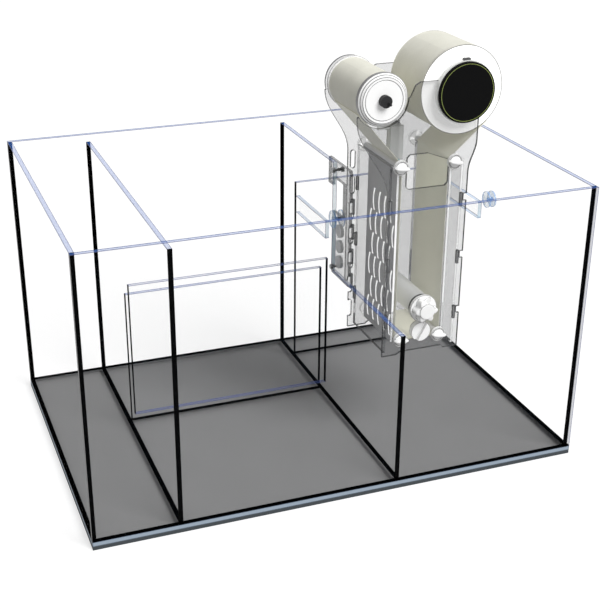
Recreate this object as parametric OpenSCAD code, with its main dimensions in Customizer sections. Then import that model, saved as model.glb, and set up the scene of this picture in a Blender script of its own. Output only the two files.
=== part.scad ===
// Divided glass sump tank of a marine aquarium with an automatic fleece roller filter.
// Millimetres, +X along the front, +Y to the back, +Z up.
// The origin is the middle of the face that the tank stands on.

/* [Tank] */
// Length of the tank along its front
tank_w = 880; // [860:1:1000]
// Depth of the tank from front to back
tank_d = 600; // [580:1:700]
// Height of the rim above the ground
tank_h = 510; // [495:1:560]
// Thickness of every glass pane
glass_t = 8; // [7:0.5:9]
// Thickness of the foam board under the tank
board_t = 7; // [5:0.5:12]
// Thickness of the silicone in each glued joint
silicone_t = 1; // [0.8:0.1:1.5]

/* [Dividers] */
// Clear width of the left chamber
left_chamber_w = 137; // [100:1:180]
// Clear width of the right chamber
right_chamber_w = 330; // [310:1:350]
// Drop from the rim to the top of both dividers
divider_drop = 14; // [8:1:20]
// Length of the notch behind the front pane
notch_l = 306; // [300:1:330]
// Height of the notch sill above the floor
sill_h = 274; // [240:1:280]

/* [Baffles] */
// Height of the two baffle panes in the middle chamber
baffle_h = 260; // [200:1:280]
// Height of the raised baffle above the floor
raised_gap = 30; // [20:1:50]
// Distance from the notch edge to the raised baffle
raised_reach = 17; // [15:1:50]
// Gap between the raised and the standing baffle
baffle_gap = 23; // [15:1:40]
// Clear depth behind the rear baffle
rear_chamber_d = 61; // [40:1:80]
// Height of the rear baffle above the floor
rear_baffle_h = 377; // [370:1:400]
// Gap between the hanger's lower part and the two glass rails
rail_front_gap = 34; // [30:1:60]
// Height of the two glass rails
rail_h = 34; // [25:1:40]
// Drop from the rear baffle's top to the rails' top
rail_drop = 27; // [10:1:40]

/* [Disc clamps] */
// Diameter of the clear clamp discs
clamp_disc_d = 32; // [26:1:36]
// Thickness of the clear clamp discs
clamp_disc_t = 3; // [2:0.5:5]
// Diameter of the clamp bolts
clamp_bolt_d = 6; // [5:0.5:8]
// Height of the hanger's clamp above the floor
left_clamp_h = 376; // [368:1:382]
// Height of the wall clamp above the floor
right_clamp_h = 361; // [330:1:400]
// Distance from the notch edge to the wall clamp
right_clamp_reach = 32; // [0:1:35]

/* [Hanger] */
// Thickness of the hanger plate
hanger_t = 6; // [5:0.5:6.5]
// Distance from the notch edge to the filter's rear plate
filter_standoff = 60; // [55:1:70]
// Length of the hanger's arm behind the notch edge
arm_reach = 40; // [30:1:60]
// Height of the hanger's arm
arm_h = 33; // [25:1:40]
// Length of the lip at the arm's back end
lip_l = 19; // [12:1:24]
// Drop of the lip below the arm
lip_drop = 16; // [8:1:24]
// Width of the hanger's upright leg
leg_w = 31; // [20:1:40]
// Length of the hanger's lower part behind the notch edge
foot_reach = 18; // [14:1:30]
// Distance from the hanger's top to the top of its lower part
foot_drop = 97; // [85:1:105]
// Diameter of the grey buffer discs
buffer_d = 24; // [18:1:28]
// Thickness of the grey buffer discs
buffer_t = 6; // [2:0.5:6]
// Spacing of the buffer discs
buffer_pitch = 30; // [29:1:34]
// Diameter of the hanger's bolts
bolt_d = 5; // [4:0.5:6]

/* [Filter box] */
// Height of the filter's plates above the tank floor
filter_lift = 184; // [180:1:190]
// Width of the filter box over its side panels
box_w = 135; // [130:1:145]
// Depth of the filter box over its plates
box_d = 142; // [136:1:150]
// Thickness of the front and rear plates
plate_t = 4; // [3:0.5:5]
// Thickness of the side panels and the louvre plate
panel_t = 4; // [3:0.5:5]
// Height of the plates' straight lower part
waist_h = 293; // [285:1:300]
// Height of the plates' top edge
plate_h = 484; // [480:1:490]
// Width of the rear plate's slotted flange
flange_w = 18; // [16:1:22]
// Spacing of the height slots in the flange
slot_pitch = 47.2; // [46:0.1:48]
// Height of the lowest slot
slot_first = 37.8; // [36:0.1:42]
// Length of a height slot
slot_l = 32; // [30:1:34]
// Width of a height slot
slot_w = 8; // [7.5:0.1:9]
// Height of each side panel tab
tab_h = 24; // [18:1:30]
// Spacing of the side panel tabs
tab_pitch = 104.5; // [100:0.5:110]
// Height of the lowest tab
tab_first = 67; // [60:1:75]

/* [Louvre plate] */
// Length of one louvre slot
louvre_l = 40; // [30:1:40]
// Width of one louvre slot
louvre_w = 5; // [3:0.5:6]
// Bow of one louvre slot
louvre_bow = 5; // [4:0.5:6]
// Spacing of the louvre slots from front to back
louvre_pitch_y = 23; // [22:0.5:24]
// Spacing of the louvre rows
louvre_pitch_z = 41; // [41:0.5:42]

/* [Rolls] */
// Diameter of the fleece left on the supply roll
supply_d = 148; // [110:1:150]
// Diameter of the fleece wound on the take-up roll
takeup_d = 84; // [60:1:85]
// Diameter of both roll cores
core_d = 50; // [48:1:52]
// Width of the fleece
fleece_w = 118; // [100:1:119]
// Thickness of the fleece
web_t = 1; // [0.8:0.1:1.4]
// Diameter of the supply roll's spindle
spindle_d = 20; // [16:1:22]
// Diameter of the retainer puck
puck_d = 100; // [90:1:104]
// Thickness of the retainer puck
puck_t = 6.5; // [5:0.5:8]
// Diameter of the take-up end disc
end_disc_d = 87.4; // [86:0.1:88]
// Diameter of the take-up motor
motor_d = 36; // [30:1:38]
// Diameter of the take-up shaft
shaft_d = 8; // [6:0.5:10]

/* [Rods and fittings] */
// Diameter of the four guide rods
rod_d = 11; // [9:0.5:12]
// Diameter of the rods' threaded ends
stud_d = 6; // [5:0.5:7]
// Diameter of the thumb knobs
knob_d = 26; // [22:1:28]
// Outer diameter of the inlet pipe
pipe_d = 42; // [40:1:44]
// Wall of the inlet pipe
pipe_wall = 3; // [2:0.5:4]
// Diameter of the inlet cap's flange
cap_flange_d = 50; // [48:0.5:50]
// Diameter of the bypass plug's head
plug_d = 36; // [32:1:37]
// Width of the level sensor's box
sensor_w = 24; // [20:1:26]
// Height of the level sensor's box
sensor_h = 58; // [50:1:64]
// Diameter of the level sensor's tips
tip_d = 5; // [4:0.5:6]

/* [Hidden] */
$fn = 64;

// Fits and small clearances
cut = 1;
fit = 0.1;
run_fit = 0.06;
air = 0.3;
hole_play = 0.2;

// Levels and faces of the tank
floor_z = board_t + glass_t;
wall_z = floor_z + silicone_t;
wall_h = tank_h - wall_z;
side_y = glass_t + silicone_t;
side_l = tank_d - 2 * side_y;
back_y = tank_d - glass_t;
right_x = tank_w - glass_t;

// Dividers, their notch and the baffles
left_div_x = glass_t + left_chamber_w;
right_div_x = right_x - right_chamber_w - glass_t;
divider_top = tank_h - divider_drop;
notch_y = glass_t + notch_l;
sill_z = floor_z + sill_h;
baffle_x = left_div_x + glass_t + silicone_t;
baffle_w = right_div_x - silicone_t - baffle_x;
raised_y = notch_y + raised_reach;
standing_y = raised_y + glass_t + baffle_gap;
rear_baffle_x = right_div_x + glass_t + silicone_t;
rear_baffle_w = right_x - silicone_t - rear_baffle_x;
rear_baffle_y = back_y - rear_chamber_d - glass_t;
rail_z = floor_z + rear_baffle_h - rail_drop - rail_h;
rail_y = notch_y + foot_reach + rail_front_gap;

// Disc clamps: the left one bolts the hanger to the notch edge, the right one closes a drilled hole
clamp_edge_gap = 3;
left_clamp_y = notch_y - clamp_bolt_d / 2 - clamp_edge_gap;
left_clamp_z = floor_z + left_clamp_h;
right_clamp_y = notch_y + right_clamp_reach;
right_clamp_z = floor_z + right_clamp_h;
clamp_tip = 1;

// Hanger plate, in the plane beside the right divider
hanger_x = right_div_x + glass_t;
hanger_front = notch_y - filter_standoff + air;
hanger_corner = 5;
hanger_margin = 7;
buffer_inset = 26;
buffer_below_clamp = 17;
bolt_edge_gap = 3.5;
bolt_low = 21;
bolt_high = 12;
washer_d = 11;
washer_t = 1.5;
bolt_head_d = 9;
bolt_head_t = 3;
nut_d = 10;
nut_t = 4;

// Filter datum: outer face of the left panel, back of the rear plate, bottom of the plates
panel_from_hanger = 8;
sill_clear = 3;
filter_x = hanger_x + hanger_t / 2 + panel_from_hanger;
filter_y = notch_y - filter_standoff;
filter_z = floor_z + filter_lift;

// Height slots and the hooks that pass through them
slot_x = -panel_from_hanger;
slot_count = 7;
hook_slots = [1, 2, 3, 4];
hook_h = 20;
hook_rise = 8;
hook_nose = 6;
slot_arc = sqrt(pow(slot_w / 2, 2) - pow(hanger_t / 2, 2));
hook_top = slot_l / 2 - slot_w / 2 + slot_arc - hole_play;
hanger_bottom = filter_z + slot_first + slot_pitch - hanger_margin;

// Plate outlines, measured from the filter datum
front_edge = -3.5;
right_margin = 8;
right_edge = box_w + right_margin;
lobe_r = 42.5;
takeup_x = -20;
takeup_z = 461;
supply_x = 124;
supply_z = 463;
rear_neck_h = 339;
rear_lobe_h = 448;
horn_drop = 24;
front_horn_h = takeup_z - horn_drop;
front_horn_r = 4;
shoulder_out = 13;
shoulder_low = 325;
shoulder_high = 378;
shoulder_r = 17;
cradle_play = 3.3;
cradle_r = end_disc_d / 2 + cradle_play;
brow_x = 47;
brow_step_x = 38;
brow_step_drop = 5;
lobe_foot_x = 31;
outline_steps = 12;
foot_w = 24;
foot_chamfer = 8;
foot_rise = 5;
notch_cut_w = 6;
notch_cut_h = 12;
notch_cut_up = 4;

// Window in the front plate below the rolls
window_x = 29;
window_z = 305;
window_w = 76;
window_h = 59;
window_chamfer = 5;
window_slope_w = 39;
window_slope_h = 15;

// Side panels and the plates inside the box
panel_z = 6;
panel_top = 347;
louvre_gap = 9;
louvre_x = panel_t + louvre_gap;
louvre_z = 26;
louvre_first = 57;
louvre_rows = 6;
louvre_cols = 5;
louvre_edge = 5;
louvre_back = 22;
inner_z = 38;
inner_gap = 1.3;
rod_air = 1;

// Guide rods and the fleece path between them
upper_left_x = 16;
upper_left_z = 345;
upper_right_x = 114;
upper_right_z = 346;
upper_left = [upper_left_x, upper_left_z];
upper_right = [upper_right_x, upper_right_z];
rod_r = rod_d / 2;
web_left_x = upper_left[0] + rod_r + air;
web_right_x = upper_right[0] - rod_r - air - web_t;
low_rod_z = 31;
lower_left = [web_left_x + web_t + air + rod_r, low_rod_z];
lower_right = [web_right_x - air - rod_r, low_rod_z];
inner_x = web_right_x + web_t + inner_gap;
bend_r = rod_r + air + web_t / 2;
bend_steps = 8;
web_inset = 14;
web_back = -plate_t - web_inset;
web_front = web_back - fleece_w;
takeup_axis = [takeup_x, takeup_z];
supply_axis = [supply_x, supply_z];

// Rods, nuts and thumb knobs
stud_out = 8;
nut_flat_d = 26;
nut_flat_t = 6;
knob_base_t = 6;
knob_fin_t = 8;
knob_fin_h = 9;
knob_fin_over = 3;
knob_floor = 1;

// Rolls and what carries them
roll_play = 2.4;
core_wall = 3;
core_web_t = 5;
spindle_flange_d = 44;
spindle_flange_t = 4;
spindle_out = 8;
rim_over = 1.5;
rim_wall = 6;
rim_t = 7.7;
puck_hub_wall = 5;
catch_w = 12;
catch_h = 3;
catch_l = 6;
motor_l = 60;
motor_boss_d = 30;
motor_boss_l = 10;
motor_bore_l = 34;
shaft_in = 30;
flange_gap = 9.5;
takeup_flange_t = 2.5;
core_bush_l = 8;
disc_t = 13;
disc_rim_t = 6;
disc_bevel = 3.5;
disc_face_r = 37;
disc_ring_r = 32;
disc_ring_w = 1.5;
disc_ring_depth = 1;
hub_d = 20;
hub_t = 9;
crank_d = 4;
crank_l = 8;
crank_r = 5;
crank_turn = -40;

// Inlet pipe, its cap and the bypass plug
pipe_x = 67;
pipe_z = 88;
pipe_front = 6;
pipe_rear = 12;
pipe_slot_l = 70;
pipe_slot_w = 16;
cap_flange_t = 5;
cap_star_t = 15;
cap_star_r = 18;
cap_lobe = 3;
cap_lobes = 6;
cap_boss_d = 28;
cap_boss_t = 1.5;
cap_spigot_l = 10;
cap_steps = 72;
plug_x = 65;
plug_z = 44;
plug_t = 10;
plug_spigot_d = 24;
plug_spigot_l = 10;
plug_slot_w = 6;
plug_slot_depth = 5;
plug_turn = -28;

// Level sensor and its holder
sensor_x = 26;
sensor_z = 338;
sensor_d = 13.7;
sensor_back = 65;
holder_t = 3;
holder_inset = 1;
holder_over = 5;
arm_w = 10;
arm_z = 381;
tip_l = 62;
tip_inset = 5;
bar_l = 21;
bar_h = 5;
bar_d = 6;
bar_inset = 3;

// Cosine blend of an edge from x0 at height z0 to x1 at height z1
function blend(x0, z0, x1, z1) =
    [for (i = [0:outline_steps])
        let (s = i / outline_steps)
        [x0 + (x1 - x0) * (1 - cos(180 * s)) / 2, z0 + (z1 - z0) * s]];

// Points on an arc about c, from angle a0 to angle a1
function arc(c, r, a0, a1) =
    [for (i = [0:bend_steps])
        let (a = a0 + (a1 - a0) * i / bend_steps)
        c + r * [cos(a), sin(a)]];

// Band of even thickness round an arc
function arc_band(c, r, t, a0, a1) =
    concat(arc(c, r - t / 2, a0, a1), arc(c, r + t / 2, a1, a0));

// Direction of a cross tangent that leaves circle a on its right and meets circle b on its left
function cross_angle(a, ra, b, rb, side) =
    atan2(b[1] - a[1], b[0] - a[0]) + side * asin((ra + rb) / norm(b - a));

// Middle of the fleece where it leaves a circle, for the run's direction and side
function touch(c, r, angle, side) = c + side * r * [sin(angle), -cos(angle)];

// Four corners of a straight run of fleece
function run_band(p, q, t) =
    let (n = [-(q - p)[1], (q - p)[0]] / norm(q - p) * t / 2)
    [p - n, q - n, q + n, p + n];

module at_base() {
    translate([-tank_w / 2, -tank_d / 2, 0]) children();
}

module at_filter() {
    at_base() translate([filter_x, filter_y, filter_z]) children();
}

// Block from one corner
module pane(corner, size) {
    at_base() translate(corner) cube(size);
}

// Round bar along Y between y0 and y1
module bar_y(p, y0, y1, d) {
    translate([p[0], y1, p[1]]) rotate([90, 0, 0]) cylinder(h = y1 - y0, d = d);
}

// Round bar along X between x0 and x1
module bar_x(y, z, x0, x1, d) {
    translate([x0, y, z]) rotate([0, 90, 0]) cylinder(h = x1 - x0, d = d);
}

// Outline in X and Z, carried along Y between y0 and y1
module sheet_y(y0, y1) {
    translate([0, y1, 0]) rotate([90, 0, 0]) linear_extrude(y1 - y0) children();
}

// Outline in Y and Z, carried along X from x0
module sheet_x(x0, t) {
    translate([x0, 0, 0]) rotate([90, 0, 90]) linear_extrude(t) children();
}

// The glass tank
module base_board() {
    color("dimgray") pane([0, 0, 0], [tank_w, tank_d, board_t]);
}

module base_glass() {
    color("lightsteelblue", 0.6) pane([0, 0, board_t], [tank_w, tank_d, glass_t]);
}

module front_glass() {
    color("lightblue", 0.3) pane([0, 0, wall_z], [tank_w, glass_t, wall_h]);
}

module back_glass() {
    color("lightblue", 0.3) pane([0, back_y, wall_z], [tank_w, glass_t, wall_h]);
}

module left_glass() {
    color("lightblue", 0.3) pane([0, side_y, wall_z], [glass_t, side_l, wall_h]);
}

// The right pane is drilled for the wall clamp's bolt
module right_glass() {
    color("lightblue", 0.3) at_base() difference() {
        translate([right_x, side_y, wall_z]) cube([glass_t, side_l, wall_h]);
        bar_x(right_clamp_y, right_clamp_z, right_x - cut, tank_w + cut, clamp_bolt_d + 2 * hole_play);
    }
}

module floor_seams() {
    color("black") {
        pane([0, 0, floor_z], [tank_w, glass_t, silicone_t]);
        pane([0, back_y, floor_z], [tank_w, glass_t, silicone_t]);
        for (x = [0, right_x]) pane([x, side_y, floor_z], [glass_t, side_l, silicone_t]);
    }
}

module corner_seams() {
    color("black")
        for (x = [0, right_x], y = [glass_t, back_y - silicone_t])
            pane([x, y, wall_z], [glass_t, silicone_t, wall_h]);
}

module left_divider() {
    color("lightblue", 0.3)
        pane([left_div_x, side_y, wall_z], [glass_t, side_l, divider_top - wall_z]);
}

// The right divider is cut down to a sill in front of its notch edge
module right_divider() {
    color("lightblue", 0.3) at_base() difference() {
        translate([right_div_x, side_y, wall_z]) cube([glass_t, side_l, divider_top - wall_z]);
        translate([right_div_x - cut, side_y - cut, sill_z])
            cube([glass_t + 2 * cut, notch_y - side_y + cut, divider_top - sill_z + cut]);
    }
}

module divider_seams() {
    color("black") {
        for (x = [left_div_x, right_div_x]) {
            pane([x, side_y, floor_z], [glass_t, side_l, silicone_t]);
            pane([x, back_y - silicone_t, wall_z], [glass_t, silicone_t, divider_top - wall_z]);
        }
        pane([left_div_x, glass_t, wall_z], [glass_t, silicone_t, divider_top - wall_z]);
        pane([right_div_x, glass_t, wall_z], [glass_t, silicone_t, sill_z - wall_z]);
    }
}

module raised_baffle() {
    color("lightblue", 0.3)
        pane([baffle_x, raised_y, floor_z + raised_gap], [baffle_w, glass_t, baffle_h]);
}

module standing_baffle() {
    color("lightblue", 0.3)
        pane([baffle_x, standing_y, wall_z], [baffle_w, glass_t, baffle_h - silicone_t]);
}

module rear_baffle() {
    color("lightblue", 0.3)
        pane([rear_baffle_x, rear_baffle_y, wall_z], [rear_baffle_w, glass_t, rear_baffle_h - silicone_t]);
}

module baffle_seams() {
    color("black") {
        for (x = [baffle_x - silicone_t, baffle_x + baffle_w]) {
            pane([x, raised_y, floor_z + raised_gap], [silicone_t, glass_t, baffle_h]);
            pane([x, standing_y, wall_z], [silicone_t, glass_t, baffle_h - silicone_t]);
        }
        for (x = [rear_baffle_x - silicone_t, rear_baffle_x + rear_baffle_w])
            pane([x, rear_baffle_y, wall_z], [silicone_t, glass_t, rear_baffle_h - silicone_t]);
        pane([baffle_x, standing_y, floor_z], [baffle_w, glass_t, silicone_t]);
        pane([rear_baffle_x, rear_baffle_y, floor_z], [rear_baffle_w, glass_t, silicone_t]);
    }
}

// Two rails bonded to the divider and the right pane, from the rear baffle forward
module glass_rails() {
    color("lightblue", 0.4)
        for (x = [hanger_x, right_x - glass_t])
            pane([x, rail_y, rail_z], [glass_t, rear_baffle_y - rail_y, rail_h]);
}

// Fixed disc and bolt of each clamp, in one turned piece
module clamp_bolt(y, z, x_disc, x_end) {
    bar_x(y, z, x_disc - clamp_disc_t, x_disc, clamp_disc_d);
    bar_x(y, z, x_disc - cut, x_end + clamp_disc_t + clamp_tip, clamp_bolt_d);
}

module clamp_bolts() {
    color("lightcyan", 0.5) at_base() {
        clamp_bolt(left_clamp_y, left_clamp_z, right_div_x, hanger_x + hanger_t);
        clamp_bolt(right_clamp_y, right_clamp_z, right_x, tank_w);
    }
}

// Turning disc of a clamp, bored for its bolt
module clamp_knob(y, z, x) {
    color("lightcyan", 0.5) at_base() difference() {
        bar_x(y, z, x, x + clamp_disc_t, clamp_disc_d);
        bar_x(y, z, x - cut, x + clamp_disc_t + cut, clamp_bolt_d + 2 * run_fit);
    }
}

module left_clamp_knob() {
    clamp_knob(left_clamp_y, left_clamp_z, hanger_x + hanger_t);
}

module right_clamp_knob() {
    clamp_knob(right_clamp_y, right_clamp_z, tank_w);
}

// Heights of the hanger's two plain bolts, above the bottom of the lower part and below the top
hanger_bolt_y = notch_y - bolt_d / 2 - bolt_edge_gap;
hanger_bolt_heights = [hanger_bottom + bolt_low, divider_top - bolt_high];

// Smoked plate beside the divider, whose hooks carry the filter
module hanger_plate() {
    arm_back = notch_y + arm_reach;
    arm_z0 = divider_top - arm_h;
    leg_back = hanger_front + leg_w;
    foot_back = notch_y + foot_reach;
    foot_top = divider_top - foot_drop;
    color("gray", 0.5) at_base() difference() {
        union() {
            sheet_x(hanger_x, hanger_t) polygon([
                [hanger_front, hanger_bottom], [foot_back, hanger_bottom],
                [foot_back, foot_top], [leg_back, foot_top], [leg_back, arm_z0],
                [arm_back - lip_l, arm_z0], [arm_back - lip_l, arm_z0 - lip_drop],
                [arm_back, arm_z0 - lip_drop], [arm_back, divider_top],
                [hanger_front + hanger_corner, divider_top],
                [hanger_front, divider_top - hanger_corner]]);
            for (k = hook_slots) hook(filter_z + slot_first + k * slot_pitch);
        }
        bar_x(left_clamp_y, left_clamp_z, hanger_x - cut, hanger_x + hanger_t + cut,
            clamp_bolt_d + 2 * hole_play);
        for (z = hanger_bolt_heights)
            bar_x(hanger_bolt_y, z, hanger_x - cut, hanger_x + hanger_t + cut, bolt_d + 2 * hole_play);
    }
}

// One hook: a neck through the slot and a nose that rises in front of the rear plate
module hook(z) {
    neck_z = z + hook_top - hook_h;
    nose_back = filter_y - plate_t - air;
    sheet_x(hanger_x, hanger_t) polygon([
        [hanger_front + cut, neck_z], [hanger_front + cut, neck_z + hook_h],
        [nose_back, neck_z + hook_h], [nose_back, neck_z + hook_h + hook_rise],
        [nose_back - hook_nose, neck_z + hook_h + hook_rise], [nose_back - hook_nose, neck_z]]);
}

// Three grey discs on the plate's left face, in front of the notch edge
module hanger_buffers() {
    y = notch_y - buffer_inset;
    color("gray") at_base()
        for (i = [0:2])
            bar_x(y, left_clamp_z - buffer_below_clamp - i * buffer_pitch,
                hanger_x - buffer_t, hanger_x, buffer_d);
}

// Two flanged bolts with nuts, which pinch the glass beside the notch edge
module hanger_bolts() {
    color("silver") at_base()
        for (z = hanger_bolt_heights) {
            bar_x(hanger_bolt_y, z, right_div_x - washer_t - bolt_head_t, right_div_x - washer_t,
                bolt_head_d);
            bar_x(hanger_bolt_y, z, right_div_x - washer_t, right_div_x, washer_d);
            bar_x(hanger_bolt_y, z, right_div_x - cut, hanger_x + hanger_t + nut_t, bolt_d);
            difference() {
                bar_x(hanger_bolt_y, z, hanger_x + hanger_t, hanger_x + hanger_t + nut_t, nut_d);
                bar_x(hanger_bolt_y, z, hanger_x + hanger_t - cut, hanger_x + hanger_t + nut_t + cut,
                    bolt_d + fit);
            }
        }
}

// The filter box
module foot_line(x0) {
    polygon([
        [x0 - cut, -cut], [right_edge + cut, -cut], [right_edge + cut, 0],
        [right_edge - foot_w - foot_chamfer / 2, 0], [right_edge - foot_w - foot_chamfer, foot_rise],
        [foot_w + foot_chamfer, foot_rise], [foot_w, 0], [x0 - cut, 0]]);
}

// Holes and slots that both plates share
module plate_cuts() {
    for (k = [0:2]) {
        z = tab_first + k * tab_pitch;
        for (x = [0, box_w - panel_t])
            translate([x - fit, z - tab_h / 2 - fit]) square([panel_t + 2 * fit, tab_h + 2 * fit]);
        translate([right_edge - notch_cut_w, z + notch_cut_up - notch_cut_h / 2])
            square([notch_cut_w + cut, notch_cut_h]);
    }
    for (p = [upper_left, upper_right, lower_left, lower_right])
        translate(p) circle(d = stud_d + 2 * hole_play);
    translate(supply_axis) circle(d = spindle_d + 2 * fit);
    translate([pipe_x, pipe_z]) circle(d = pipe_d + 2 * fit);
}

// Edge of the right shoulder, from the waist to the top corner
function shoulder_points() = concat(
    [[right_edge, 0]],
    blend(right_edge, shoulder_low, right_edge + shoulder_out, shoulder_high),
    arc([right_edge + shoulder_out - shoulder_r, plate_h - shoulder_r], shoulder_r, 0, 90));

// Rear plate with a slotted flange on its left and a lobe behind the take-up roll. Below the
// divider's sill the flange steps back to clear the glass.
module rear_plate() {
    left_x = -flange_w;
    lobe_x = takeup_x - lobe_r;
    step_x = hanger_x + air - filter_x;
    step_z = sill_z + sill_clear - filter_z;
    color("gainsboro", 0.4) at_filter() sheet_y(-plate_t, 0) difference() {
        union() {
            polygon(concat(
                [[left_x, 0]], shoulder_points(),
                [[lobe_foot_x, plate_h], [takeup_x, takeup_z]],
                [for (p = blend(lobe_x, rear_lobe_h, left_x, rear_neck_h)) p]));
            translate(takeup_axis) circle(r = lobe_r);
        }
        foot_line(left_x);
        plate_cuts();
        translate([left_x - cut, -cut]) square([step_x - left_x + cut, step_z + cut]);
        for (k = [0:slot_count - 1])
            translate([slot_x, slot_first + k * slot_pitch]) slot_outline();
    }
}

module slot_outline() {
    run = slot_l - slot_w;
    square([slot_w, run], center = true);
    for (z = [-run / 2, run / 2]) translate([0, z]) circle(d = slot_w);
}

// Front plate with a cradle for the take-up disc and a window below the rolls
module front_plate() {
    horn_x = takeup_x - lobe_r;
    color("gainsboro", 0.4) at_filter() sheet_y(-box_d, plate_t - box_d) difference() {
        polygon(concat(
            [[front_edge, 0]], shoulder_points(),
            [[brow_x, plate_h], [brow_step_x, plate_h - brow_step_drop],
                [brow_step_x - foot_chamfer, takeup_z], [takeup_x, front_horn_h]],
            arc([horn_x + front_horn_r, front_horn_h - front_horn_r], front_horn_r, 90, 180),
            blend(horn_x, front_horn_h - 2 * front_horn_r, front_edge, waist_h)));
        translate(takeup_axis) circle(r = cradle_r);
        foot_line(front_edge);
        plate_cuts();
        translate([plug_x, plug_z]) circle(d = plug_spigot_d + 2 * run_fit);
        translate([window_x, window_z]) polygon([
            [0, window_chamfer], [window_chamfer, 0], [window_w - window_chamfer, 0],
            [window_w, window_chamfer], [window_w, window_h - window_slope_h],
            [window_w - window_slope_w, window_h], [window_chamfer, window_h],
            [0, window_h - window_chamfer]]);
    }
}

// Side panel whose tabs pass through both plates
module side_panel(x) {
    color("gainsboro", 0.5) at_filter() {
        translate([x, plate_t - box_d, panel_z])
            cube([panel_t, box_d - 2 * plate_t, panel_top - panel_z]);
        for (k = [0:2])
            translate([x, -box_d, tab_first + k * tab_pitch - tab_h / 2]) cube([panel_t, box_d, tab_h]);
    }
}

module left_panel() {
    side_panel(0);
}

module right_panel() {
    side_panel(box_w - panel_t);
}

// Backing panel behind the fleece's run down the right
module inner_panel() {
    top = upper_right[1] - rod_r - rod_air;
    color("whitesmoke", 0.7) at_filter()
        translate([inner_x, plate_t - box_d, inner_z])
            cube([panel_t, box_d - 2 * plate_t, top - inner_z]);
}

// One bowed slot, its bow towards the back
module louvre_slot() {
    r = (pow(louvre_l / 2, 2) + pow(louvre_bow, 2)) / (2 * louvre_bow);
    intersection() {
        translate([louvre_bow - r, 0]) difference() {
            circle(r = r + louvre_w / 2);
            circle(r = r - louvre_w / 2);
        }
        translate([-louvre_w, -louvre_l / 2]) square([louvre_bow + 2 * louvre_w, louvre_l]);
    }
}

// Dark plate on the front plate, with staggered rows of bowed slots, which the fleece runs up
module louvre_plate() {
    top = upper_left[1] - rod_r - rod_air;
    color("gray") at_filter() sheet_x(louvre_x, panel_t) difference() {
        translate([plate_t - box_d, louvre_z]) square([box_d - plate_t - louvre_back, top - louvre_z]);
        for (row = [0:louvre_rows - 1], col = [0:louvre_cols - 1 - row % 2])
            translate([plate_t - box_d + louvre_edge + (col + (row % 2) / 2) * louvre_pitch_y,
                louvre_first + row * louvre_pitch_z]) louvre_slot();
    }
}

// Guide rod with a shoulder against each plate and a thread at each end
module guide_rod(p) {
    color("whitesmoke") at_filter() {
        bar_y(p, plate_t - box_d, -plate_t, rod_d);
        bar_y(p, -box_d - stud_out, stud_out, stud_d);
    }
}

module upper_left_rod() {
    guide_rod(upper_left);
}

module upper_right_rod() {
    guide_rod(upper_right);
}

module lower_left_rod() {
    guide_rod(lower_left);
}

module lower_right_rod() {
    guide_rod(lower_right);
}

module rod_nuts() {
    color("white") at_filter()
        for (p = [upper_left, upper_right, lower_left, lower_right])
            difference() {
                bar_y(p, 0, nut_flat_t, nut_flat_d);
                bar_y(p, -cut, nut_flat_t + cut, stud_d + fit);
            }
}

// Round knob with one leaf-shaped fin across its face
module thumb_knob(p, turn) {
    back = -box_d - air;
    face = back - knob_base_t;
    color("white") at_filter() difference() {
        union() {
            bar_y(p, face, back, knob_d);
            translate([p[0], face + cut, p[1]]) rotate([90, turn, 0])
                linear_extrude(knob_fin_h + cut) intersection() {
                    square([knob_d + 2 * knob_fin_over, knob_fin_t], center = true);
                    circle(d = knob_d + knob_fin_over);
                }
        }
        bar_y(p, -box_d - stud_out - knob_floor, back + cut, stud_d + 2 * run_fit);
    }
}

knob_turns = [5, 9, 3, 7];

module upper_left_knob() {
    thumb_knob(upper_left, knob_turns[0]);
}

module upper_right_knob() {
    thumb_knob(upper_right, knob_turns[1]);
}

module lower_left_knob() {
    thumb_knob(lower_left, knob_turns[2]);
}

module lower_right_knob() {
    thumb_knob(lower_right, knob_turns[3]);
}

// Supply roll: spindle, core and what is left of the fleece
module supply_spindle() {
    color("silver") at_filter() {
        bar_y(supply_axis, -box_d - spindle_out, 0, spindle_d);
        bar_y(supply_axis, -plate_t - spindle_flange_t, -plate_t, spindle_flange_d);
    }
}

module supply_core() {
    color("burlywood") at_filter() difference() {
        bar_y(supply_axis, web_front, web_back, core_d);
        bar_y(supply_axis, web_front + core_web_t, web_back - core_web_t, core_d - 2 * core_wall);
        bar_y(supply_axis, web_front - cut, web_back + cut, spindle_d + 2 * run_fit);
    }
}

module supply_fleece() {
    color("ivory") at_filter() difference() {
        bar_y(supply_axis, web_front, web_back, supply_d);
        bar_y(supply_axis, web_front - cut, web_back + cut, core_d + fit);
    }
}

// Retainer that pulls off the spindle: a black puck on a pale rim
module retainer_puck() {
    back = -box_d - air;
    seat = back - rim_t;
    color("black") at_filter() difference() {
        union() {
            bar_y(supply_axis, seat - puck_t, seat, puck_d);
            bar_y(supply_axis, seat - cut, back, spindle_d + 2 * puck_hub_wall);
        }
        bar_y(supply_axis, -box_d - spindle_out - knob_floor, back + cut, spindle_d + 2 * run_fit);
    }
}

module retainer_rim() {
    back = -box_d - air;
    rim_d = puck_d + 2 * rim_over;
    color("whitesmoke") at_filter() difference() {
        bar_y(supply_axis, back - rim_t, back, rim_d);
        bar_y(supply_axis, back - rim_t - cut, back + cut, rim_d - 2 * rim_wall);
    }
}

module retainer_catch() {
    back = -box_d - air;
    rim_d = puck_d + 2 * rim_over;
    color("dimgray") at_filter() difference() {
        translate([supply_x - catch_w / 2, back - catch_l, supply_z])
            cube([catch_w, catch_l, rim_d / 2 + catch_h]);
        bar_y(supply_axis, back - catch_l - cut, back + cut, rim_d);
    }
}

// Take-up roll: a motor inside the core turns it through a shaft
takeup_flange_y = -plate_t - flange_gap;
takeup_core_back = takeup_flange_y - takeup_flange_t;

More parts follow.
